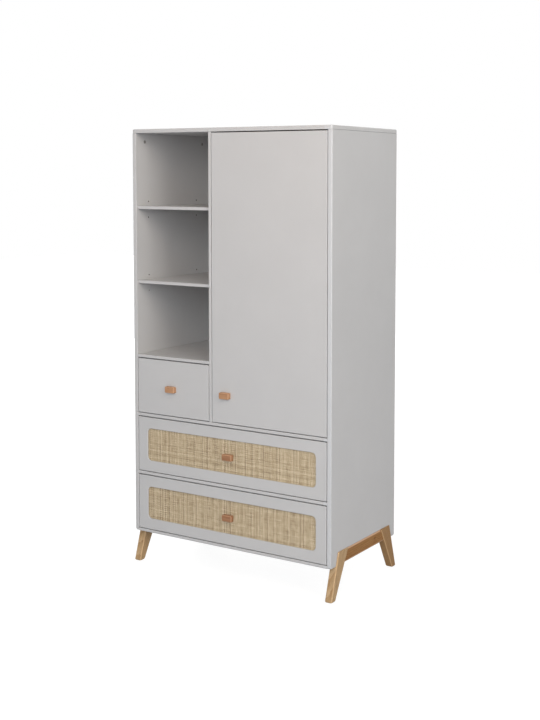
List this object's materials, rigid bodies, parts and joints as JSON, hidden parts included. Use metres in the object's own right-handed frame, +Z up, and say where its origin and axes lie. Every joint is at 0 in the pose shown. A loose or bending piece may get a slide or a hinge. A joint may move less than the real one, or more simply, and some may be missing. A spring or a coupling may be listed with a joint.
{
  "type": "wardrobe",
  "caption": "Free-standing wardrobe on splayed wooden legs, with open niches and a small drawer beside a tall hinged door, above wide drawers with cane panels.",
  "frame": {"origin": "centre of the overall size in width and depth, on the floor under the feet", "axes": "+Z up, the front looks to -Y, +X to the right as seen from the front"},
  "size_m": [0.962, 0.524, 1.789],
  "materials": {
    "case_board": "satin paint",
    "front_board": "satin paint",
    "back_board": "satin paint",
    "box_board": "matt foil",
    "cane": "natural cane weave",
    "leg_wood": "oiled",
    "rail_wood": "oiled",
    "knob_wood": "lacquered",
    "rail_metal": "polished",
    "hinge_metal": "nickel plated",
    "runner_metal": "zinc plated"
  },
  "bodies": {
    "carcass": {"side_panel_left": "case_board", "side_panel_right": "case_board", "top_panel": "case_board", "bottom_panel": "case_board", "mid_panel": "case_board", "drawer_rail": "case_board", "divider_panel": "case_board", "fixed_shelf": "case_board", "adjustable_shelf_lower": "case_board", "adjustable_shelf_upper": "case_board", "back_panel": "back_board", "left_front_leg": "leg_wood", "left_rear_leg": "leg_wood", "left_leg_rail": "rail_wood", "right_front_leg": "leg_wood", "right_rear_leg": "leg_wood", "right_leg_rail": "rail_wood", "hanging_rail": "rail_metal", "hanging_rail_socket_left": "rail_metal", "hanging_rail_socket_right": "rail_metal", "hinge_arm_1": "hinge_metal", "hinge_arm_2": "hinge_metal", "hinge_arm_3": "hinge_metal", "small_drawer_runner_left_channel": "runner_metal", "small_drawer_runner_right_channel": "runner_metal", "upper_drawer_runner_left_channel": "runner_metal", "upper_drawer_runner_right_channel": "runner_metal", "lower_drawer_runner_left_channel": "runner_metal", "lower_drawer_runner_right_channel": "runner_metal"},
    "door": {"door_panel": "front_board", "door_knob": "knob_wood", "hinge_cup_1": "hinge_metal", "hinge_cup_2": "hinge_metal", "hinge_cup_3": "hinge_metal"},
    "small_drawer": {"small_drawer_front": "front_board", "small_drawer_side_left": "box_board", "small_drawer_side_right": "box_board", "small_drawer_back": "box_board", "small_drawer_bottom": "box_board", "small_drawer_knob": "knob_wood", "small_drawer_runner_left_slide": "runner_metal", "small_drawer_runner_right_slide": "runner_metal"},
    "upper_drawer": {"upper_drawer_front_frame": "front_board", "upper_drawer_cane_panel": "cane", "upper_drawer_side_left": "box_board", "upper_drawer_side_right": "box_board", "upper_drawer_back": "box_board", "upper_drawer_bottom": "box_board", "upper_drawer_knob": "knob_wood", "upper_drawer_runner_left_slide": "runner_metal", "upper_drawer_runner_right_slide": "runner_metal"},
    "lower_drawer": {"lower_drawer_front_frame": "front_board", "lower_drawer_cane_panel": "cane", "lower_drawer_side_left": "box_board", "lower_drawer_side_right": "box_board", "lower_drawer_back": "box_board", "lower_drawer_bottom": "box_board", "lower_drawer_knob": "knob_wood", "lower_drawer_runner_left_slide": "runner_metal", "lower_drawer_runner_right_slide": "runner_metal"}
  },
  "joints": [
    {"name": "door_hinge", "type": "hinge", "parent": "carcass", "child": "door", "pos_m": [0.4548, -0.24565, 0.6292], "axis": [0, 0, 1], "range_deg": [0, 105]},
    {"name": "small_drawer_slide", "type": "slide", "parent": "carcass", "child": "small_drawer", "axis": [0, -1, 0], "range_m": [0, 0.3]},
    {"name": "upper_drawer_slide", "type": "slide", "parent": "carcass", "child": "upper_drawer", "axis": [0, -1, 0], "range_m": [0, 0.3]},
    {"name": "lower_drawer_slide", "type": "slide", "parent": "carcass", "child": "lower_drawer", "axis": [0, -1, 0], "range_m": [0, 0.3]}
  ]
}
